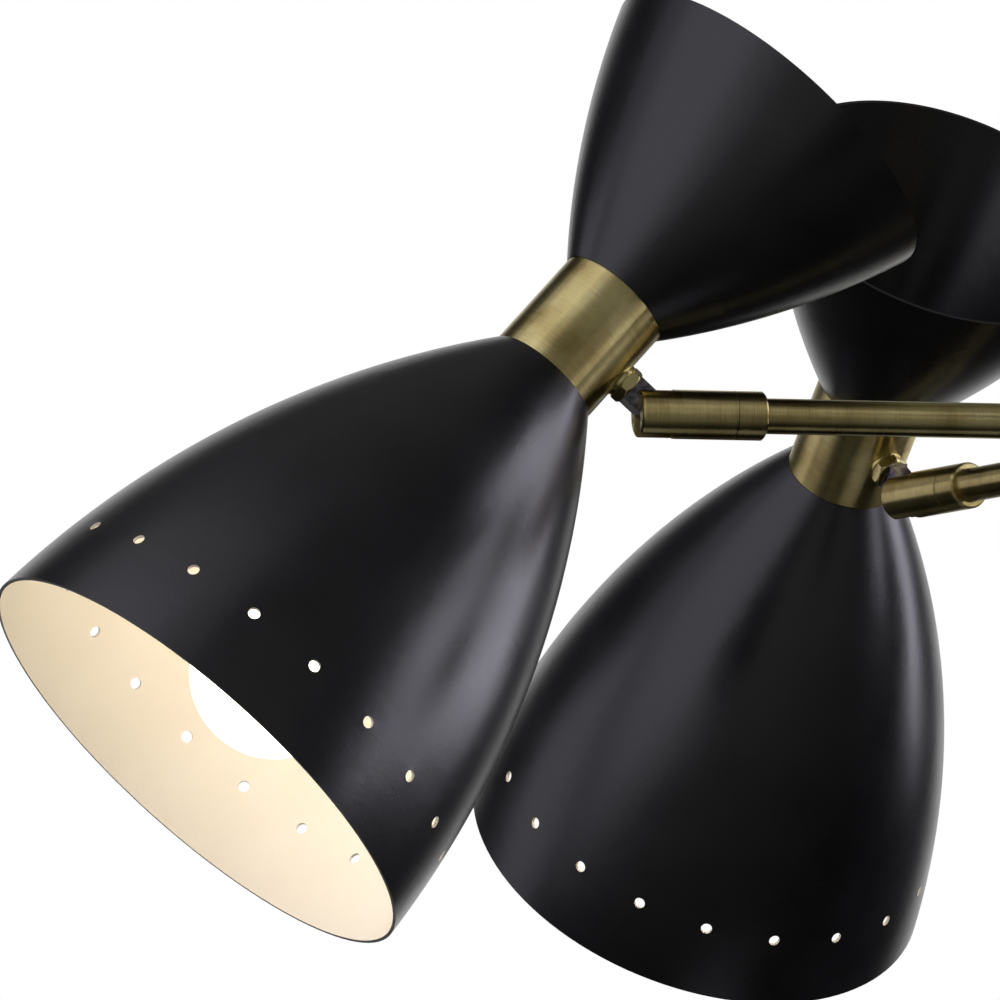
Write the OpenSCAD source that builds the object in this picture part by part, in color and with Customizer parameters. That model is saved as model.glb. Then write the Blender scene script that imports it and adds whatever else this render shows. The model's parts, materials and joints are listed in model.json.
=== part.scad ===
// Pendant light with tilting diabolo heads on rods around a hub, hung from the ceiling.
// The origin is on the ceiling at the middle of the bracket, and +Z is up.
// Each head has its own frame: +Z along its axis from the lower rim, +X away from the hub.

/* [Arms] */
// Number of arms around the hub
arm_count = 5; // [3:1:5]
// Direction of the first arm, in degrees from +X
first_arm_turn = 180; // [0:1:360]
// From the hub's axis to the tilt pin of a head
arm_reach = 195; // [160:1:260]
// From the ceiling down to the rods
drop = 340; // [260:5:900]
// Diameter of a rod
rod_d = 10.5; // [8.5:0.5:11]
// Wall of a rod
rod_wall = 2; // [1.5:0.1:2.2]
// How far a rod stands into the hub
rod_inset = 2; // [1:0.5:4]

/* [Rest pose] */
// Lift of each stud above its rod's direction, in degrees
head_tilt = [43, 45, 44, 44, 44]; // [-10:1:65]
// Turn of each barrel about its rod, in degrees
head_swivel = [3.5, -9, 0, 0, 0]; // [-40:0.5:40]

/* [Swivel barrel] */
// Diameter of the barrel and of the ring behind it
barrel_d = 14.5; // [13.5:0.5:18]
// Length of the barrel
barrel_len = 29; // [26:1:45]
// Rounding of the barrel's free end
barrel_round = 1; // [0.5:0.1:3]
// From the barrel's free end to the tilt pin
pin_from_end = 6; // [5:0.5:8]
// Diameter of the tilt pin
pin_d = 4; // [3:0.5:5]
// Cover left over the pin's blind end
pin_cover = 2; // [1:0.5:2.5]
// Length of the ring
ring_len = 9; // [5:0.5:14]
// Chamfer on the ring's edge at the rod
ring_chamfer = 0.6; // [0.3:0.1:1.5]
// Step from the rod down to the spigot that the barrel turns on
spigot_step = 1; // [0.6:0.1:1.2]
// Length of barrel that bears on the spigot
bearing_len = 12; // [8:1:14]
// Height of the flared lip at the spigot's end
lip_h = 0.8; // [0.4:0.1:1]
// Thickness of the flared lip
lip_t = 1.4; // [1:0.1:2]

/* [Pivot stud] */
// Thickness of the tongue in the barrel's slot
tongue_t = 6; // [4:0.5:7]
// Width of the tongue
tongue_w = 8.4; // [7.5:0.1:10]
// From the collar's surface to the tilt pin
stud_reach = 14.5; // [14:0.25:20]
// Diameter of the washer flange on the collar
flange_d = 11; // [10:0.5:16]
// Thickness of the washer flange
flange_t = 1.2; // [1:0.1:2]
// Hexagon, across its corners
hex_d = 12; // [10:0.2:15]
// Thickness of the hexagon
hex_t = 3.6; // [1.5:0.1:4.5]
// Chamfer on the hexagon's corners
hex_edge = 0.9; // [0.3:0.1:1.2]
// Diameter of the stud's thread in the collar
thread_d = 8; // [6:0.5:9]

/* [Collar] */
// Diameter of the collar
collar_d = 35; // [30:0.5:44]
// Height of the collar
collar_h = 33.2; // [26:0.2:44]
// Wall of the collar
collar_wall = 6; // [4.5:0.25:7]
// How far the shades' necks stand out past the collar
neck_step = 0.25; // [0:0.05:1]

/* [Lower shade] */
// Diameter at the lower rim
lower_rim_d = 150; // [130:1:170]
// Height from the rim to the neck
lower_h = 156.3; // [140:0.1:185]
// Radius of the outline's outward curve
lower_curve = 300; // [180:5:900]
// Wall of both shades
shade_wall = 1; // [0.8:0.1:1.6]
// Number of holes in the row
hole_count = 20; // [8:1:30]
// Diameter of a hole
hole_d = 3.5; // [2:0.1:6]
// Height of the row above the rim
hole_up = 24; // [10:1:50]
// Turn of the row from the stud's direction, in degrees
hole_turn = 1.5; // [0:0.5:18]

/* [Upper shade] */
// Diameter at the open top
upper_rim_d = 113; // [90:1:120]
// Height from the neck to the top rim
upper_h = 71.3; // [50:0.1:72]
// Radius of the outline's outward curve
upper_curve = 270; // [150:5:900]

/* [Lamp] */
// Diameter of the bulb's globe
bulb_d = 50; // [40:1:60]
// Height of the globe's centre above the lower rim
bulb_up = 36; // [30:1:45]
// Height of the bulb's neck above the globe's centre
bulb_neck_up = 48; // [40:1:55]
// Diameter of the bulb's screw cap
cap_d = 26; // [14:1:27]
// Length of the screw cap
cap_len = 25; // [20:1:28]
// Height of the contact tip on the screw cap
tip_h = 2; // [1:0.5:3]
// How far the bulb's neck stands in from the screw cap
neck_in = 0.5; // [0.2:0.1:1]
// Diameter of the lamp holder
holder_d = 36; // [34:0.5:40]
// How much of the screw cap shows below the holder
cap_show = 6; // [2:1:10]
// Height of the cone on the holder
holder_cone = 10; // [5:1:15]
// Height of the holder's neck above the cone
holder_neck_h = 4; // [2:0.5:6]
// Wall of the holder's neck around the shank
holder_neck_wall = 4; // [3:0.5:6]
// Diameter of the threaded shank through the collar
shank_d = 10; // [8:0.5:11]
// Diameter of the clamp nut
clamp_nut_d = 18; // [15:1:24]
// Height of the clamp nut
clamp_nut_h = 8; // [5:0.5:12]
// Chamfer on the clamp nut's edge
clamp_edge = 1; // [0.5:0.1:2]
// How far the shank ends below the clamp nut's face
shank_short = 2; // [1:0.5:3]

/* [Hub and stem] */
// Diameter of the hub
hub_d = 52; // [44:1:70]
// Height of the hub
hub_h = 34; // [26:1:50]
// Wall of the hub
hub_wall = 5; // [4:0.5:8]
// Rounding of the hub's top edge
hub_round = 4; // [1:0.5:6]
// Rim thickness of the hub's cap
cap_plate_t = 3; // [2:0.5:5]
// Depth of the dome under the cap
cap_dome = 7; // [3:0.5:12]
// Width of the flat rim round the dome
cap_edge = 1.5; // [0.5:0.5:4]
// Height of the spigot that centres the cap in the hub
cap_spigot_h = 4; // [2:0.5:6]
// Diameter of the finial
finial_d = 16; // [14:0.5:24]
// Height of the finial's seat
finial_seat_h = 3; // [2:0.5:5]
// Wall of the finial's seat around the thread
finial_seat_wall = 2; // [1.5:0.1:2.5]
// Diameter of the stem
stem_d = 12; // [11:0.5:16]
// Wall of the stem
stem_wall = 1.5; // [1:0.1:1.6]
// Diameter of the threads at both ends of the stem
stem_thread_d = 8; // [6:0.5:8]
// How far the stem's thread stands past the bracket's nut
thread_show = 1; // [0.5:0.5:3]
// Diameter of the coupler and of the canopy ring
coupler_d = 20; // [17:0.5:28]
// Height of the coupler
coupler_h = 18; // [14:1:30]
// Depth of the stem's seat in the coupler
stem_seat = 12; // [6:1:12]

/* [Canopy] */
// Diameter of the canopy
canopy_d = 120; // [110:1:160]
// Height of the canopy
canopy_h = 27; // [24:1:45]
// Wall of the canopy
canopy_wall = 1.2; // [0.8:0.1:2]
// Rounding of the canopy's lower edge
canopy_round = 10; // [3:0.5:14]
// Height of the canopy ring
canopy_ring_h = 10; // [6:0.5:20]

/* [Ceiling bracket] */
// Length of the strap
strap_len = 104; // [94:1:106]
// Width of the strap
strap_w = 24; // [18:1:40]
// Thickness of the strap
strap_t = 2.5; // [1.5:0.1:3]
// Depth of the strap's offset middle
strap_offset = 12; // [11:0.5:14]
// Length of the offset middle
strap_mid = 52; // [30:1:56]
// Spacing of the two screw slots
screw_spacing = 80; // [76:1:84]
// Width of a screw slot
slot_w = 5.5; // [4:0.1:7]
// Length of a screw slot, end to end
slot_len = 11; // [8:0.5:12]
// Diameter across the corners of the bracket's nut
bracket_nut_d = 15; // [12:0.5:18]
// Height of the bracket's nut
bracket_nut_h = 6.5; // [4:0.5:7]

/* [Hidden] */
$fn = 96;
// Facets of the wide arcs in the shades' outlines
fine = 720;
// Clearance of a running fit, on the radius
run_fit = 0.05;
// Clearance between pieces that are fixed together, on the radius
seat_fit = 0.02;
// Clearance between faces that pass each other
face_gap = 0.3;
// Overshoot of a cut past the face that it opens
cut = 1;
brass = "darkgoldenrod";
black = "#1a1a1c";
cream = "antiquewhite";

collar_r = collar_d / 2;
barrel_r = barrel_d / 2;
neck_r = collar_r + neck_step;
pivot_off = collar_r + stud_reach;
stud_z = lower_h + collar_h / 2;
upper_z = lower_h + collar_h;

// Along a rod, measured from the hub's axis
barrel_back = arm_reach + pin_from_end - barrel_len;
ring_front = barrel_back - face_gap;
ring_back = ring_front - ring_len;
rod_start = hub_d / 2 - hub_wall - rod_inset;
spigot_r = rod_d / 2 - spigot_step;
lip_r = spigot_r + lip_h;
rod_bore_r = rod_d / 2 - rod_wall;
// Along a barrel, measured from the tilt pin
bearing_end = pin_from_end - barrel_len + bearing_len;
slot_floor = -tongue_w / 2 - 2 * face_gap;
slot_half = tongue_t / 2 + face_gap / 2;

// Along a stud, measured from the head's axis
spot_face = sqrt(collar_r ^ 2 - (flange_d / 2) ^ 2);
hex_start = spot_face + flange_t;
hex_end = hex_start + hex_t;
collar_bore_r = collar_r - collar_wall;

// Along a head's axis, measured from the lower rim
cap_z = bulb_up + bulb_neck_up;
cap_top = cap_z + cap_len;
holder_z = cap_z + cap_show;
holder_top = lower_h - shade_wall;
holder_neck_r = shank_d / 2 + holder_neck_wall;
holder_cone_top = holder_top - holder_neck_h;
holder_body_top = holder_cone_top - holder_cone;
shank_top = upper_z + shade_wall + clamp_nut_h - shank_short;

// Heights under the ceiling
hub_top = -drop + hub_h / 2;
hub_bottom = -drop - hub_h / 2;
coupler_top = hub_top + coupler_h;
stem_bottom = coupler_top - stem_seat;
strap_low = -strap_offset - strap_t;
stem_thread_r = stem_thread_d / 2;

function arm_turn(i) = first_arm_turn - (i - 1) * 360 / arm_count;
function tilt(i) = head_tilt[(i - 1) % len(head_tilt)];
function swivel(i) = head_swivel[(i - 1) % len(head_swivel)];
// Centre of the arc of radius r that bulges away from the axis between points a and b
function arc_centre(a, b, r) =
    let (d = b - a, half = norm(d) / 2)
    (a + b) / 2 + [-d[1], d[0]] / norm(d) * sqrt(r ^ 2 - half ^ 2);

lower_arc = arc_centre([lower_rim_d / 2, 0], [neck_r, lower_h], lower_curve);
upper_arc = arc_centre([neck_r, 0], [upper_rim_d / 2, upper_h], upper_curve);

FRAME_NODES = [
    "ceiling_bracket", "bracket_nut", "canopy", "canopy_ring", "stem_tube",
    "hub_coupler", "hub_body", "hub_cap", "hub_finial", "swivel_rings"
];
ARM_NODES = [
    "arm_rod", "swivel_barrel", "pivot_pin", "pivot_stud", "neck_collar",
    "lower_shade", "upper_shade", "lamp_holder", "clamp_nut", "bulb"
];

// The frame of arm i: +X along its rod from the hub's axis
module at_arm(i) {
    translate([0, 0, -drop]) rotate([0, 0, arm_turn(i)]) children();
}

// The frame of barrel i: +X along the rod from the tilt pin, +Y along the pin
module at_pivot(i) {
    at_arm(i) translate([arm_reach, 0, 0]) rotate([swivel(i), 0, 0]) children();
}

// The frame of head i
module at_head(i) {
    at_pivot(i) rotate([0, -tilt(i), 0]) translate([pivot_off, 0, -stud_z]) children();
}

// A round bar along +X from one place to another
module bar_x(from, to, r) {
    translate([from, 0, 0]) rotate([0, 90, 0]) cylinder(h = to - from, r = r);
}

// A tube along +Z
module tube(h, outer_r, inner_r) {
    difference() {
        cylinder(h = h, r = outer_r);
        translate([0, 0, -cut]) cylinder(h = h + 2 * cut, r = inner_r);
    }
}

// A spun sheet of even wall that follows an arc, with a flat disc closing its neck
module spun_shade(centre, curve, height, rim_r, disc_z) {
    rotate_extrude() {
        intersection() {
            difference() {
                translate(centre) circle(r = curve, $fn = fine);
                translate(centre) circle(r = curve - shade_wall, $fn = fine);
            }
            square([rim_r + cut, height]);
        }
        intersection() {
            translate(centre) circle(r = curve, $fn = fine);
            translate([shank_d / 2 + seat_fit, disc_z]) square([rim_r, shade_wall]);
        }
    }
}

module ceiling_bracket() {
    half_mid = strap_mid / 2;
    half_len = strap_len / 2;
    color("silver") difference() {
        rotate([90, 0, 0]) translate([0, 0, -strap_w / 2]) linear_extrude(strap_w) polygon([
            [-half_len, 0], [-half_mid + strap_t, 0], [-half_mid + strap_t, -strap_offset],
            [half_mid - strap_t, -strap_offset], [half_mid - strap_t, 0], [half_len, 0],
            [half_len, -strap_t], [half_mid, -strap_t], [half_mid, strap_low],
            [-half_mid, strap_low], [-half_mid, -strap_t], [-half_len, -strap_t]
        ]);
        translate([0, 0, strap_low - cut]) cylinder(h = strap_t + 2 * cut, r = stem_thread_r + seat_fit);
        for (side = [-1, 1]) translate([side * screw_spacing / 2, 0, -strap_t - cut]) {
            for (end = [-1, 1]) translate([end * (slot_len - slot_w) / 2, 0, 0])
                cylinder(h = strap_t + 2 * cut, d = slot_w);
            translate([-(slot_len - slot_w) / 2, -slot_w / 2, 0])
                cube([slot_len - slot_w, slot_w, strap_t + 2 * cut]);
        }
    }
}

module bracket_nut() {
    color("silver") translate([0, 0, -strap_offset]) difference() {
        cylinder(h = bracket_nut_h, d = bracket_nut_d, $fn = 6);
        translate([0, 0, -cut]) cylinder(h = bracket_nut_h + 2 * cut, r = stem_thread_r + seat_fit);
    }
}

// Half of the canopy's section, smaller all round by inset
module canopy_section(inset) {
    outer_r = canopy_d / 2 - inset;
    round_r = canopy_round - inset;
    translate([0, inset - canopy_h]) {
        translate([0, round_r]) square([outer_r, canopy_h - inset - round_r + (inset > 0 ? cut : 0)]);
        square([outer_r - round_r, round_r]);
        translate([outer_r - round_r, round_r]) intersection() {
            circle(r = round_r);
            translate([0, -round_r]) square(round_r);
        }
    }
}

module canopy() {
    color(brass) rotate_extrude() difference() {
        canopy_section(0);
        canopy_section(canopy_wall);
        translate([0, -canopy_h - cut]) square([stem_d / 2 + face_gap, canopy_wall + 2 * cut]);
    }
}

module canopy_ring() {
    color(brass) translate([0, 0, -canopy_h - canopy_ring_h])
        tube(canopy_ring_h, coupler_d / 2, stem_d / 2 + seat_fit);
}

module stem_tube() {
    tube_h = strap_low - stem_bottom;
    thread_h = strap_t + bracket_nut_h + thread_show;
    color(brass) translate([0, 0, stem_bottom]) difference() {
        union() {
            cylinder(h = tube_h, d = stem_d);
            cylinder(h = tube_h + thread_h, r = stem_thread_r);
        }
        translate([0, 0, -cut]) cylinder(h = tube_h - stem_wall + cut, r = stem_d / 2 - stem_wall);
        cylinder(h = tube_h + thread_h + cut, r = stem_thread_r - stem_wall);
    }
}

module hub_coupler() {
    shank_low = hub_bottom - cap_plate_t - cap_dome - finial_d / 2;
    color(brass) difference() {
        union() {
            translate([0, 0, hub_top]) cylinder(h = coupler_h, d = coupler_d);
            translate([0, 0, shank_low]) cylinder(h = hub_top - shank_low, r = stem_thread_r);
        }
        translate([0, 0, stem_bottom]) cylinder(h = stem_seat + cut, r = stem_d / 2 + seat_fit);
        translate([0, 0, hub_bottom]) cylinder(h = hub_h + coupler_h, r = stem_thread_r - stem_wall);
    }
}

module hub_body() {
    hub_r = hub_d / 2;
    color(brass) difference() {
        translate([0, 0, hub_bottom]) rotate_extrude() {
            square([hub_r, hub_h - hub_round]);
            square([hub_r - hub_round, hub_h]);
            translate([hub_r - hub_round, hub_h - hub_round]) circle(r = hub_round);
        }
        translate([0, 0, hub_bottom - cut]) cylinder(h = hub_h - hub_wall + cut, r = hub_r - hub_wall);
        translate([0, 0, hub_bottom]) cylinder(h = hub_h + cut, r = stem_thread_r + seat_fit);
        for (i = [1 : arm_count]) at_arm(i) bar_x(0, hub_d, rod_d / 2 + seat_fit);
    }
}

module hub_cap() {
    hub_r = hub_d / 2;
    dome_base = hub_r - cap_edge;
    dome_r = (dome_base ^ 2 + cap_dome ^ 2) / (2 * cap_dome);
    color(brass) translate([0, 0, hub_bottom - cap_plate_t]) difference() {
        rotate_extrude() {
            square([hub_r, cap_plate_t]);
            square([hub_r - hub_wall - face_gap, cap_plate_t + cap_spigot_h]);
            intersection() {
                translate([0, dome_r - cap_dome]) circle(r = dome_r, $fn = fine);
                translate([0, -cap_dome]) square([hub_r, cap_dome]);
            }
        }
        translate([0, 0, -cap_dome - cut])
            cylinder(h = cap_dome + cap_plate_t + cap_spigot_h + 2 * cut, r = stem_thread_r + seat_fit);
    }
}

// A knob whose flat top seats on the middle of the cap's dome
module hub_finial() {
    finial_r = finial_d / 2;
    top_z = hub_bottom - cap_plate_t - cap_dome;
    seat_r = stem_thread_r + finial_seat_wall;
    ball_z = -finial_seat_h - sqrt(finial_r ^ 2 - seat_r ^ 2);
    color(brass) translate([0, 0, top_z]) difference() {
        rotate_extrude() {
            translate([0, -finial_seat_h]) square([seat_r, finial_seat_h]);
            intersection() {
                translate([0, ball_z]) circle(r = finial_r);
                translate([0, -2 * finial_d]) square([finial_r, 2 * finial_d - finial_seat_h]);
            }
        }
        translate([0, 0, -finial_r - seat_fit]) cylinder(h = finial_r + cut, r = stem_thread_r + seat_fit);
    }
}

module swivel_rings() {
    color(brass) for (i = [1 : arm_count]) at_arm(i) difference() {
        translate([ring_back, 0, 0]) rotate([0, 90, 0]) rotate_extrude() polygon([
            [0, 0], [barrel_r - ring_chamfer, 0], [barrel_r, ring_chamfer],
            [barrel_r, ring_len], [0, ring_len]
        ]);
        bar_x(ring_back - cut, ring_front + cut, rod_d / 2 + seat_fit);
    }
}

// The rod ends in a spigot that the barrel turns on, with a lip that keeps the barrel on it
module arm_rod(i) {
    lip_start = arm_reach + bearing_end + face_gap;
    color(brass) at_arm(i) difference() {
        union() {
            bar_x(rod_start, ring_front, rod_d / 2);
            bar_x(rod_start, lip_start + lip_t, spigot_r);
            bar_x(lip_start, lip_start + lip_t, lip_r);
        }
        bar_x(rod_start - cut, lip_start + lip_t + cut, rod_bore_r);
    }
}

module swivel_barrel(i) {
    back = pin_from_end - barrel_len;
    color(brass) at_pivot(i) difference() {
        translate([back, 0, 0]) rotate([0, 90, 0]) rotate_extrude() {
            square([barrel_r, barrel_len - barrel_round]);
            square([barrel_r - barrel_round, barrel_len]);
            translate([barrel_r - barrel_round, barrel_len - barrel_round]) circle(r = barrel_round);
        }
        bar_x(back - cut, slot_floor, spigot_r + run_fit);
        bar_x(bearing_end, slot_floor + face_gap, lip_r + face_gap);
        translate([slot_floor, -slot_half, -barrel_d])
            cube([pin_from_end - slot_floor + cut, 2 * slot_half, 2 * barrel_d]);
        translate([0, -barrel_d, 0]) rotate([-90, 0, 0])
            cylinder(h = barrel_d + barrel_r - pin_cover, d = pin_d);
    }
}

module pivot_pin(i) {
    // Set just below the barrel's skin at its open end
    pin_start = -sqrt(barrel_r ^ 2 - (pin_d / 2) ^ 2);
    color(brass) at_pivot(i) translate([0, pin_start, 0]) rotate([-90, 0, 0])
        cylinder(h = barrel_r - pin_cover - pin_start, d = pin_d - 2 * seat_fit);
}

// A tongue for the hinge, a chamfered hexagon, a washer flange on the collar's spot face, and a thread
module pivot_stud(i) {
    tongue_end = pivot_off - hex_end;
    hex_r = hex_d / 2;
    color(brass) at_head(i) translate([0, 0, stud_z]) rotate([0, 0, 180]) difference() {
        union() {
            bar_x(collar_bore_r, hex_start, thread_d / 2);
            bar_x(spot_face, hex_start, flange_d / 2);
            translate([hex_start, 0, 0]) rotate([0, 90, 0]) intersection() {
                cylinder(h = hex_t, d = hex_d, $fn = 6);
                rotate_extrude() polygon([
                    [0, 0], [hex_r - hex_edge, 0], [hex_r, hex_edge], [hex_r, hex_t - hex_edge],
                    [hex_r - hex_edge, hex_t], [0, hex_t]
                ]);
            }
            translate([hex_end - cut, -tongue_t / 2, -tongue_w / 2])
                cube([tongue_end + cut, tongue_t, tongue_w]);
            translate([pivot_off, 0, 0]) rotate([90, 0, 0])
                cylinder(h = tongue_t, d = tongue_w, center = true);
        }
        translate([pivot_off, 0, 0]) rotate([90, 0, 0])
            cylinder(h = barrel_d, r = pin_d / 2 + run_fit, center = true);
    }
}

module neck_collar(i) {
    color(brass) at_head(i) difference() {
        translate([0, 0, lower_h]) tube(collar_h, collar_r, collar_bore_r);
        translate([0, 0, stud_z]) {
            bar_x(-collar_r, 0, thread_d / 2 + seat_fit);
            bar_x(-collar_d, -spot_face, flange_d / 2 + seat_fit);
        }
    }
}

module lower_shade(i) {
    hole_r = sqrt(lower_curve ^ 2 - (hole_up - lower_arc[1]) ^ 2) + lower_arc[0];
    hole_slope = asin((hole_up - lower_arc[1]) / lower_curve);
    drill_len = 6 * shade_wall;
    color(black) at_head(i) difference() {
        spun_shade(lower_arc, lower_curve, lower_h, lower_rim_d / 2, lower_h - shade_wall);
        for (k = [0 : hole_count - 1]) rotate([0, 0, hole_turn + k * 360 / hole_count])
            translate([hole_r, 0, hole_up]) rotate([0, 90 - hole_slope, 0])
                cylinder(h = drill_len, d = hole_d, center = true);
    }
}

module upper_shade(i) {
    color(black) at_head(i) translate([0, 0, upper_z])
        spun_shade(upper_arc, upper_curve, upper_h, upper_rim_d / 2, 0);
}

module lamp_holder(i) {
    holder_r = holder_d / 2;
    color(cream) at_head(i) difference() {
        rotate_extrude() polygon([
            [0, holder_z], [holder_r, holder_z], [holder_r, holder_body_top],
            [holder_neck_r, holder_cone_top], [holder_neck_r, holder_top],
            [shank_d / 2, holder_top], [shank_d / 2, shank_top], [0, shank_top]
        ]);
        translate([0, 0, holder_z - cut])
            cylinder(h = cap_top + tip_h + face_gap - holder_z + cut, d = cap_d + 2 * face_gap);
        translate([0, 0, holder_z]) cylinder(h = shank_top - holder_z + cut, d = shank_d / 2);
    }
}

module clamp_nut(i) {
    clamp_nut_r = clamp_nut_d / 2;
    color(brass) at_head(i) translate([0, 0, upper_z + shade_wall]) difference() {
        rotate_extrude() polygon([
            [0, 0], [clamp_nut_r, 0], [clamp_nut_r, clamp_nut_h - clamp_edge],
            [clamp_nut_r - clamp_edge, clamp_nut_h], [0, clamp_nut_h]
        ]);
        translate([0, 0, -cut]) cylinder(h = clamp_nut_h + 2 * cut, r = shank_d / 2 + seat_fit);
    }
}

// A pear-shaped bulb: a globe, a cone that leaves it at a tangent, and a screw cap with its tip
module bulb(i) {
    neck = [cap_d / 2 - neck_in, cap_z];
    tip_r = cap_d / 5;
    away = neck - [0, bulb_up];
    leave = atan2(away[1], away[0]) - acos(bulb_d / 2 / norm(away));
    tangent = [0, bulb_up] + bulb_d / 2 * [cos(leave), sin(leave)];
    color("white") at_head(i) rotate_extrude() {
        intersection() {
            translate([0, bulb_up]) circle(d = bulb_d);
            translate([0, bulb_up - bulb_d]) square([bulb_d, 2 * bulb_d]);
        }
        polygon([[0, bulb_up], tangent, neck, [0, cap_z]]);
        translate([0, cap_z]) square([cap_d / 2, cap_len]);
        translate([0, cap_top - cut]) square([tip_r, tip_h + cut]);
    }
}

ceiling_bracket();
bracket_nut();
canopy();
canopy_ring();
stem_tube();
hub_coupler();
hub_body();
hub_cap();
hub_finial();
swivel_rings();
for (i = [1 : arm_count]) {
    arm_rod(i);
    swivel_barrel(i);
    pivot_pin(i);
    pivot_stud(i);
    neck_collar(i);
    lower_shade(i);
    upper_shade(i);
    lamp_holder(i);
    clamp_nut(i);
    bulb(i);
}
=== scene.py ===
import json
import math

import bpy
from mathutils import Matrix, Vector


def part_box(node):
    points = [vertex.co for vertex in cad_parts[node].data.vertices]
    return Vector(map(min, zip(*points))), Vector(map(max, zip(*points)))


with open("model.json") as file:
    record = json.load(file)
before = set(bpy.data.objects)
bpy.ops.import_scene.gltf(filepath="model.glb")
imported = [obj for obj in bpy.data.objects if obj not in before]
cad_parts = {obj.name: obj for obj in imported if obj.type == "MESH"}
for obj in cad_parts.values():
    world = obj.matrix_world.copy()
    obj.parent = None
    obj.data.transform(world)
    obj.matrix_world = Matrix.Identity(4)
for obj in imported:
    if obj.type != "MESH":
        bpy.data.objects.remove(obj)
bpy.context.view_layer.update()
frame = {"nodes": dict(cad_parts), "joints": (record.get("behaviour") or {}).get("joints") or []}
nodes = frame["nodes"]
joints = {joint["name"]: joint for joint in frame["joints"]}
heads = range(1, 1 + sum(name.startswith("bulb_") for name in nodes))
first_pin = Vector(joints["head_1_tilt"]["pos_m"])

# Lengths are in metres and angles in degrees, unless a name says otherwise.

# The photo's camera: a long lens, a little below the rods
VIEW_AZIMUTH = -15.955
VIEW_ELEVATION = -7.153
VIEW_DISTANCE = 3.2036
VIEW_ROLL = -0.834
LENS_MM = 394.17
SENSOR_MM = 36.0
# How far the first head's tilt pin lies from the middle of the picture
PIN_RIGHT = 0.045884
PIN_UP = 0.025186

# The floor, far below the lamp; it fades out from this share of its half width
FLOOR_Z = -5.0
FLOOR_SIZE = 3.0
FLOOR_FADE = 0.5
FLOOR_COLOUR = (0.80, 0.80, 0.79)
FLOOR_ROUGHNESS = 0.9

# The light that the studio gives, and how bright its parts look in a reflection
AMBIENT_STRENGTH = 0.1
STUDIO_SIDES = 0.017
STUDIO_FRONT = 0.30
STUDIO_CEILING = 0.19
# What is left of the sides and the front at the studio's foot
STUDIO_FOOT = 0.1
# Where the parts fade: by the cosine to the line of sight, or by the height from -1 to 1
BACKDROP_FADE = (0.77, 0.97)
FRONT_FADE = (-0.95, -0.2)
FOOT_FADE = (-0.95, -0.3)
CEILING_FADE = (0.6, 0.95)

# Soft lamps round the first head: name, azimuth, elevation, distance, width, height, brightness
LAMPS = (
    ("left_window", -70, 26, 5.0, 4.4, 8.5, 0.67),
    ("left_glow", -70, 28, 5.2, 9.0, 13.0, 0.535),
    ("left_rear", -118, 2, 5.0, 2.2, 2.8, 0.96),
    ("right_window", 84, 10, 5.0, 5.2, 4.2, 4.05),
)
WINDOW_COLOUR = (0.89, 0.865, 1.0)

# Up a head's axis, from its collar's middle
HOLE_ROW = (-0.168, -0.142)
GLOBE = (-0.1614, -0.0914)
CAP_START = -0.0889
# Away from the hub, from the collar's middle
TONGUE_START = -0.0216
# Cosine to a head's radius past which a face belongs to the wall, not to a hole or an edge
WALL_COSINE = 0.5
# Cosine to a rod past which a face belongs to that rod's ring
RING_COSINE = 0.9

# Colours of the finishes
BLACK_DEEP = (0.0065, 0.0063, 0.0068)
BLACK_PALE = (0.0115, 0.0112, 0.012)
CREAM_DEEP = (0.86, 0.80, 0.68)
CREAM_PALE = (0.91, 0.86, 0.76)
BRASS_DEEP = (0.31, 0.229, 0.081)
BRASS_MID = (0.51, 0.425, 0.174)
BRASS_PALE = (0.665, 0.584, 0.279)
STEEL_DARK = (0.083, 0.075, 0.086)
STEEL_WORN = (0.31, 0.30, 0.315)
ZINC_DULL = (0.42, 0.43, 0.45)
ZINC_BRIGHT = (0.62, 0.63, 0.64)
HOLDER_DEEP = (0.66, 0.62, 0.55)
HOLDER_PALE = (0.74, 0.70, 0.63)
OPAL_DEEP = (0.86, 0.82, 0.74)
OPAL_PALE = (0.90, 0.87, 0.80)

# Roughness of the finishes, from where their pattern is low to where it is high
BLACK_ROUGH = (0.26, 0.31)
CREAM_ROUGH = (0.42, 0.55)
BRASS_ROUGH = (0.27, 0.36)
STUD_ROUGH = (0.16, 0.22)
STEEL_ROUGH = (0.25, 0.4)
ZINC_ROUGH = (0.28, 0.42)
HOLDER_ROUGH = (0.42, 0.55)
OPAL_ROUGH = 0.3

# The range that most of a noise lies in
NOISE_SPAN = (0.3, 0.7)
# How a noise is drawn out into rings round a shade, and into brush lines round a turned piece
RING_STRETCH = (4, 4, 260)
BRUSH_STRETCH = (60, 60, 6500)
RING_SHARE = 0.6
BRUSH_SHARE = 0.5
BRUSH_ANISOTROPY = 0.95
CREAM_SPECULAR = 0.35
# Depth of a surface's relief, and the radius that the light turns round on the edges of metal
RELIEF = 0.0002
BRUSH_RELIEF = 0.0001
EDGE_ROUND = 0.0004

# The lit globe, and what is left of its glow at its neck
LAMP_COLOUR = (1.0, 0.91, 0.77)
LAMP_STRENGTH = 3.9
NECK_GLOW = 0.6


def direction(azimuth, elevation):
    """The way back to a viewer at these angles: azimuth 0 looks along +Y."""
    a, e = math.radians(azimuth), math.radians(elevation)
    return Vector((math.sin(a) * math.cos(e), -math.cos(a) * math.cos(e), math.sin(e)))


def put(name, data):
    """A new object in the scene."""
    made = bpy.data.objects.new(name, data)
    bpy.context.scene.collection.objects.link(made)
    return made


def add(tree, kind, inputs=None, **settings):
    """A new shader node; an input is a value, or a socket to link from."""
    made = tree.nodes.new(kind)
    for name, value in settings.items():
        setattr(made, name, value)
    for key, value in (inputs or {}).items():
        if isinstance(value, bpy.types.NodeSocket):
            tree.links.new(value, made.inputs[key])
        else:
            made.inputs[key].default_value = value
    return made


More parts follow.
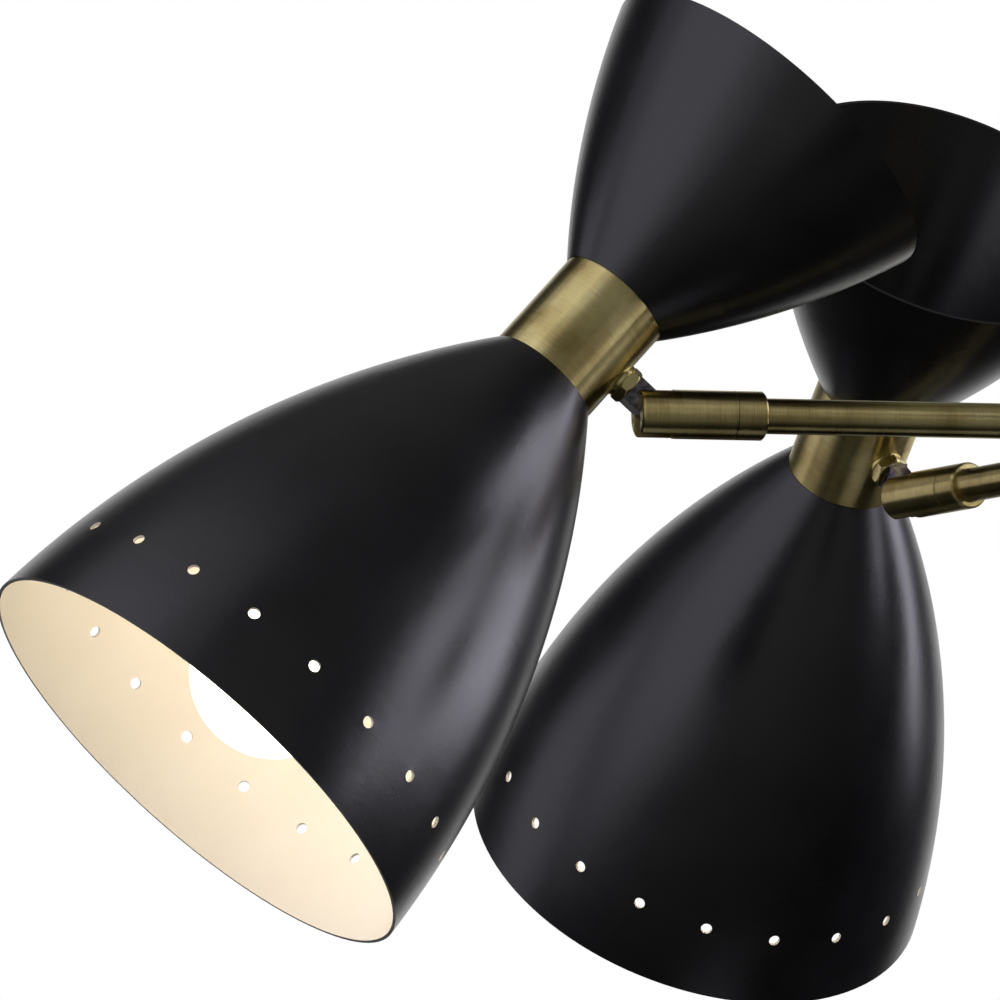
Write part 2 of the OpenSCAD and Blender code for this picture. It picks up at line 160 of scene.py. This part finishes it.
def combine(tree, operation, *values):
    return add(tree, "ShaderNodeMath", dict(enumerate(values)), operation=operation).outputs[0]


def between(tree, value, low, high, span=NOISE_SPAN, **settings):
    """From low to high, as a value goes from the start of a span to its end."""
    return add(tree, "ShaderNodeMapRange", {
        "Value": value, "From Min": span[0], "From Max": span[1], "To Min": low, "To Max": high,
    }, **settings).outputs[0]


def ramp(tree, value, *stops):
    """Colours along a value; each stop is a position and a colour."""
    made = add(tree, "ShaderNodeValToRGB", {0: value})
    marks = made.color_ramp.elements
    while len(marks) < len(stops):
        marks.new(0.5)
    for mark, (position, colour) in zip(marks, stops):
        mark.position = position
        mark.color = (*colour, 1)
    return made.outputs["Color"]


def noise(tree, vector, scale=1, detail=3, roughness=0.5):
    return add(tree, "ShaderNodeTexNoise", {
        "Vector": vector, "Scale": scale, "Detail": detail, "Roughness": roughness,
    }).outputs[0]


def stretched(tree, vector, scale):
    return add(tree, "ShaderNodeVectorMath", {0: vector, 1: scale}, operation="MULTIPLY").outputs[0]


def own_place(tree, place):
    """Texture coordinates in the frame of a matrix."""
    where = add(tree, "ShaderNodeTexCoord")
    return add(tree, "ShaderNodeMapping", {
        "Vector": where.outputs["Object"],
        "Location": place.to_translation(),
        "Rotation": place.to_euler(),
    }, vector_type="TEXTURE").outputs["Vector"]


def new_material(name):
    made = bpy.data.materials.new(name)
    made.use_nodes = True
    tree = made.node_tree
    return made, tree, tree.nodes["Principled BSDF"]


def coat(tree, shader, colour, roughness):
    """Links a shader's colour and its roughness."""
    tree.links.new(colour, shader.inputs["Base Color"])
    tree.links.new(roughness, shader.inputs["Roughness"])


def bump(tree, shader, height, strength, depth=RELIEF, edge_round=0.0):
    """Relief on a shader, and light that turns round the edges where these have a radius."""
    made = add(tree, "ShaderNodeBump", {"Height": height, "Strength": strength, "Distance": depth})
    if edge_round:
        eased = add(tree, "ShaderNodeBevel", {"Radius": edge_round})
        tree.links.new(eased.outputs[0], made.inputs["Normal"])
    tree.links.new(made.outputs[0], shader.inputs["Normal"])


def make_camera():
    back = direction(VIEW_AZIMUTH, VIEW_ELEVATION)
    level = Vector((0, 0, 1)).cross(back).normalized()
    roll = math.radians(VIEW_ROLL)
    right = level * math.cos(roll) + back.cross(level) * math.sin(roll)
    aim = first_pin - right * PIN_RIGHT - back.cross(right) * PIN_UP
    place = first_pin + back * VIEW_DISTANCE
    look = (place - aim).normalized()
    right = (right - look * right.dot(look)).normalized()
    data = bpy.data.cameras.new("camera")
    data.lens = LENS_MM
    data.sensor_width = SENSOR_MM
    camera = put("camera", data)
    turn = Matrix((right, look.cross(right), look)).transposed()
    camera.matrix_world = Matrix.Translation(place) @ turn.to_4x4()
    bpy.context.scene.camera = camera


def make_world():
    """White where it is looked at and on the backdrop behind the lamp, and a dim studio elsewhere."""
    world = bpy.data.worlds.new("studio")
    bpy.context.scene.world = world
    world.use_nodes = True
    tree = world.node_tree
    tree.nodes.clear()

    def light(strength):
        return add(tree, "ShaderNodeBackground", {
            "Color": (1, 1, 1, 1), "Strength": strength,
        }).outputs[0]

    way = add(tree, "ShaderNodeTexCoord").outputs["Generated"]
    height = add(tree, "ShaderNodeSeparateXYZ", {0: way}).outputs["Z"]
    behind = add(tree, "ShaderNodeVectorMath", {
        0: way, 1: -direction(VIEW_AZIMUTH, VIEW_ELEVATION),
    }, operation="DOT_PRODUCT").outputs["Value"]
    backdrop = between(tree, behind, 0.0, 1.0, BACKDROP_FADE, interpolation_type="SMOOTHSTEP")
    front = between(tree, behind, STUDIO_FRONT, STUDIO_SIDES, FRONT_FADE)
    foot = between(tree, height, STUDIO_FOOT, 1.0, FOOT_FADE)
    ceiling = between(tree, height, 0.0, STUDIO_CEILING, CEILING_FADE)
    studio = combine(tree, "MAXIMUM", combine(tree, "MULTIPLY", front, foot), ceiling)
    mirrored = combine(tree, "MAXIMUM", backdrop, studio)

    ray = add(tree, "ShaderNodeLightPath").outputs
    shiny = combine(tree, "MAXIMUM", ray["Is Glossy Ray"], ray["Is Transmission Ray"])
    lit = add(tree, "ShaderNodeMixShader", {
        0: shiny, 1: light(AMBIENT_STRENGTH), 2: light(mirrored),
    }).outputs[0]
    both = add(tree, "ShaderNodeMixShader", {0: ray["Is Camera Ray"], 1: lit, 2: light(1.0)})
    add(tree, "ShaderNodeOutputWorld", {"Surface": both.outputs[0]})


def make_floor():
    """A plain pale floor that fades out towards its edges."""
    half = FLOOR_SIZE / 2
    corners = [(x * half, y * half, FLOOR_Z) for x, y in ((-1, -1), (1, -1), (1, 1), (-1, 1))]
    mesh = bpy.data.meshes.new("floor")
    mesh.from_pydata(corners, [], [(0, 1, 2, 3)])
    floor = put("floor", mesh)
    made, tree, shader = new_material("floor_paper")
    shader.inputs["Base Color"].default_value = (*FLOOR_COLOUR, 1)
    shader.inputs["Roughness"].default_value = FLOOR_ROUGHNESS
    away = add(tree, "ShaderNodeVectorMath", {
        0: add(tree, "ShaderNodeTexCoord").outputs["Object"], 1: (0, 0, FLOOR_Z),
    }, operation="DISTANCE").outputs["Value"]
    fade = between(tree, away, 0.0, 1.0, (FLOOR_FADE * half, half))
    clear = add(tree, "ShaderNodeBsdfTransparent").outputs[0]
    paper = add(tree, "ShaderNodeMixShader", {0: fade, 1: shader.outputs[0], 2: clear}).outputs[0]
    tree.links.new(paper, tree.nodes["Material Output"].inputs["Surface"])
    mesh.materials.append(made)


def softbox(name, azimuth, elevation, distance, width, height, brightness):
    """A rectangular lamp that faces the first head and looks this bright from there."""
    data = bpy.data.lights.new(name, "AREA")
    data.shape = "RECTANGLE"
    data.size = width
    data.size_y = height
    data.energy = brightness * math.pi * width * height
    data.color = WINDOW_COLOUR
    lamp = put(name, data)
    back = direction(azimuth, elevation)
    lamp.location = first_pin + back * distance
    lamp.rotation_mode = "QUATERNION"
    lamp.rotation_quaternion = back.to_track_quat("Z", "Y")


def black_paint(name, place):
    """Satin black paint on spun sheet, with a fine orange peel and faint spinning rings."""
    made, tree, shader = new_material(name)
    where = own_place(tree, place)
    mottle = noise(tree, where, scale=38, detail=4)
    peel = noise(tree, where, scale=900, detail=2)
    rings = noise(tree, stretched(tree, where, RING_STRETCH), detail=2)
    colour = ramp(tree, mottle, (0.3, BLACK_DEEP), (0.7, BLACK_PALE))
    coat(tree, shader, colour, between(tree, mottle, *BLACK_ROUGH))
    bump(tree, shader, combine(tree, "MULTIPLY_ADD", rings, RING_SHARE, peel), strength=0.10)
    return made


def cream_enamel(name, place):
    """Warm cream enamel, a little deeper in cloudy patches."""
    made, tree, shader = new_material(name)
    where = own_place(tree, place)
    cloud = noise(tree, where, scale=22, detail=4)
    peel = noise(tree, where, scale=700, detail=2)
    colour = ramp(tree, cloud, (0.3, CREAM_DEEP), (0.7, CREAM_PALE))
    coat(tree, shader, colour, between(tree, cloud, *CREAM_ROUGH))
    bump(tree, shader, peel, strength=0.08)
    shader.inputs["Specular IOR Level"].default_value = CREAM_SPECULAR
    return made


def brushed_brass(name, place, roughness=BRASS_ROUGH):
    """Antique brass brushed round the frame's +Z, with a brown patina in clouds and specks."""
    made, tree, shader = new_material(name)
    where = own_place(tree, place)
    lines = noise(tree, stretched(tree, where, BRUSH_STRETCH), roughness=0.6)
    cloud = noise(tree, where, scale=70, detail=5)
    tone = combine(tree, "MULTIPLY_ADD", lines, BRUSH_SHARE, cloud)
    colour = ramp(tree, tone, (0.5, BRASS_DEEP), (0.75, BRASS_MID), (1.0, BRASS_PALE))
    coat(tree, shader, colour, between(tree, lines, *roughness))
    bump(tree, shader, lines, strength=0.05, depth=BRUSH_RELIEF, edge_round=EDGE_ROUND)
    shader.inputs["Metallic"].default_value = 1.0
    shader.inputs["Anisotropic"].default_value = BRUSH_ANISOTROPY
    axis = add(tree, "ShaderNodeVectorTransform", {
        0: place.to_3x3() @ Vector((0, 0, 1)),
    }, vector_type="VECTOR", convert_from="OBJECT", convert_to="WORLD")
    tree.links.new(axis.outputs[0], shader.inputs["Tangent"])
    return made


def dark_steel(name, place):
    """Blued steel, worn paler in small patches."""
    made, tree, shader = new_material(name)
    wear = noise(tree, own_place(tree, place), scale=320, detail=4)
    colour = ramp(tree, wear, (0.45, STEEL_DARK), (0.7, STEEL_WORN))
    coat(tree, shader, colour, between(tree, wear, *STEEL_ROUGH))
    bump(tree, shader, wear, strength=0.1, edge_round=EDGE_ROUND)
    shader.inputs["Metallic"].default_value = 1.0
    return made


def zinc_steel(name, place):
    """Zinc-plated steel with a faint spangle."""
    made, tree, shader = new_material(name)
    spangle = noise(tree, own_place(tree, place), scale=160)
    colour = ramp(tree, spangle, (0.35, ZINC_DULL), (0.65, ZINC_BRIGHT))
    coat(tree, shader, colour, between(tree, spangle, *ZINC_ROUGH))
    bump(tree, shader, spangle, strength=0.05)
    shader.inputs["Metallic"].default_value = 1.0
    return made


def holder_plastic(name, place):
    """Pale moulded plastic with a fine grain."""
    made, tree, shader = new_material(name)
    where = own_place(tree, place)
    grain = noise(tree, where, scale=1100, detail=2)
    cloud = noise(tree, where, scale=40)
    colour = ramp(tree, cloud, (0.3, HOLDER_DEEP), (0.7, HOLDER_PALE))
    coat(tree, shader, colour, between(tree, grain, *HOLDER_ROUGH))
    bump(tree, shader, grain, strength=0.1)
    return made


def lit_opal(name, place):
    """The bulb's glowing opal globe, a little dimmer towards its neck."""
    made, tree, shader = new_material(name)
    where = own_place(tree, place)
    height = add(tree, "ShaderNodeSeparateXYZ", {0: where}).outputs["Z"]
    cloud = noise(tree, where, scale=30, detail=2)
    colour = ramp(tree, cloud, (0.3, OPAL_DEEP), (0.7, OPAL_PALE))
    glow = between(tree, height, LAMP_STRENGTH, NECK_GLOW * LAMP_STRENGTH, GLOBE)
    tree.links.new(colour, shader.inputs["Base Color"])
    tree.links.new(glow, shader.inputs["Emission Strength"])
    shader.inputs["Emission Color"].default_value = (*LAMP_COLOUR, 1)
    shader.inputs["Roughness"].default_value = OPAL_ROUGH
    return made


def head_frame(number):
    """A head's own frame at its collar's middle: +Z up the head's axis, +X away from the hub."""
    tilt = joints[f"head_{number}_tilt"]
    low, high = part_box(f"neck_collar_{number}")
    middle = (low + high) / 2
    side = -Vector(tilt["axis"])
    up = (middle - Vector(tilt["pos_m"])).cross(side).normalized()
    turn = Matrix((side.cross(up), side, up)).transposed()
    return Matrix.Translation(middle) @ turn.to_4x4()


def rod_frame(number):
    """A rod's own frame at its tilt pin: +Z along the rod, away from the hub."""
    swivel = joints[f"head_{number}_swivel"]
    along = Vector(swivel["axis"])
    side = Vector((0, 0, 1)).cross(along).normalized()
    turn = Matrix((side, along.cross(side), along)).transposed()
    return Matrix.Translation(Vector(swivel["pos_m"])) @ turn.to_4x4()


def give(node, *materials):
    """Sets a node's finishes, the first one on every face."""
    mesh = nodes[node].data
    mesh.materials.clear()
    for made in materials:
        mesh.materials.append(made)
    mesh.polygons.foreach_set("material_index", [0] * len(mesh.polygons))


def paint_where(node, index, test):
    """Gives the faces that pass a test another of the node's finishes."""
    for face in nodes[node].data.polygons:
        if test(face.center, face.normal):
            face.material_index = index


def dress_head(number):
    place = head_frame(number)
    home = place.inverted()
    turn = home.to_3x3()
    along_stud = place @ Matrix.Rotation(math.radians(90), 4, "Y")
    black = black_paint(f"black_paint_{number}", place)
    cream = cream_enamel(f"cream_enamel_{number}", place)
    brass = brushed_brass(f"collar_brass_{number}", place)
    opal = lit_opal(f"lit_opal_{number}", place)
    stud = brushed_brass(f"stud_brass_{number}", along_stud, STUD_ROUGH)
    steel = dark_steel(f"dark_steel_{number}", place)
    give(f"lower_shade_{number}", black, cream)
    give(f"upper_shade_{number}", black)
    give(f"neck_collar_{number}", brass)
    give(f"pivot_stud_{number}", stud, steel)
    give(f"clamp_nut_{number}", brass)
    give(f"lamp_holder_{number}", holder_plastic(f"holder_plastic_{number}", place))
    give(f"bulb_{number}", opal, brass)

    def is_cream(centre, normal):
        spot = home @ centre
        out = Vector((spot.x, spot.y, 0)).normalized()
        facing = (turn @ normal).dot(out)
        in_hole = HOLE_ROW[0] < spot.z < HOLE_ROW[1] and abs(facing) < WALL_COSINE
        return in_hole or facing < -WALL_COSINE

    paint_where(f"lower_shade_{number}", 1, is_cream)
    paint_where(f"bulb_{number}", 1, lambda centre, normal: (home @ centre).z > CAP_START)
    paint_where(f"pivot_stud_{number}", 1, lambda centre, normal: (home @ centre).x < TONGUE_START)


def dress_arm(number):
    brass = brushed_brass(f"rod_brass_{number}", rod_frame(number))
    for piece in ("arm_rod", "swivel_barrel", "pivot_pin"):
        give(f"{piece}_{number}", brass)
    return brass


def dress_rings(brasses):
    """Each ring of the one node takes the brass of its own rod."""
    give("swivel_rings", *brasses)
    for index, number in enumerate(heads):
        along = Vector(joints[f"head_{number}_swivel"]["axis"]).xy

        def is_on_rod(centre, normal):
            return centre.xy.normalized().dot(along) > RING_COSINE

        paint_where("swivel_rings", index, is_on_rod)


def dress_frame():
    upright = Matrix.Identity(4)
    brass = brushed_brass("hub_brass", upright)
    steel = zinc_steel("zinc_steel", upright)
    for piece in (
        "canopy", "canopy_ring", "stem_tube", "hub_coupler", "hub_body", "hub_cap", "hub_finial",
    ):
        give(piece, brass)
    for piece in ("ceiling_bracket", "bracket_nut"):
        give(piece, steel)


make_camera()
make_world()
make_floor()
for lamp in LAMPS:
    softbox(*lamp)
for number in heads:
    dress_head(number)
dress_rings([dress_arm(number) for number in heads])
dress_frame()

bpy.context.scene.view_settings.view_transform = "Standard"
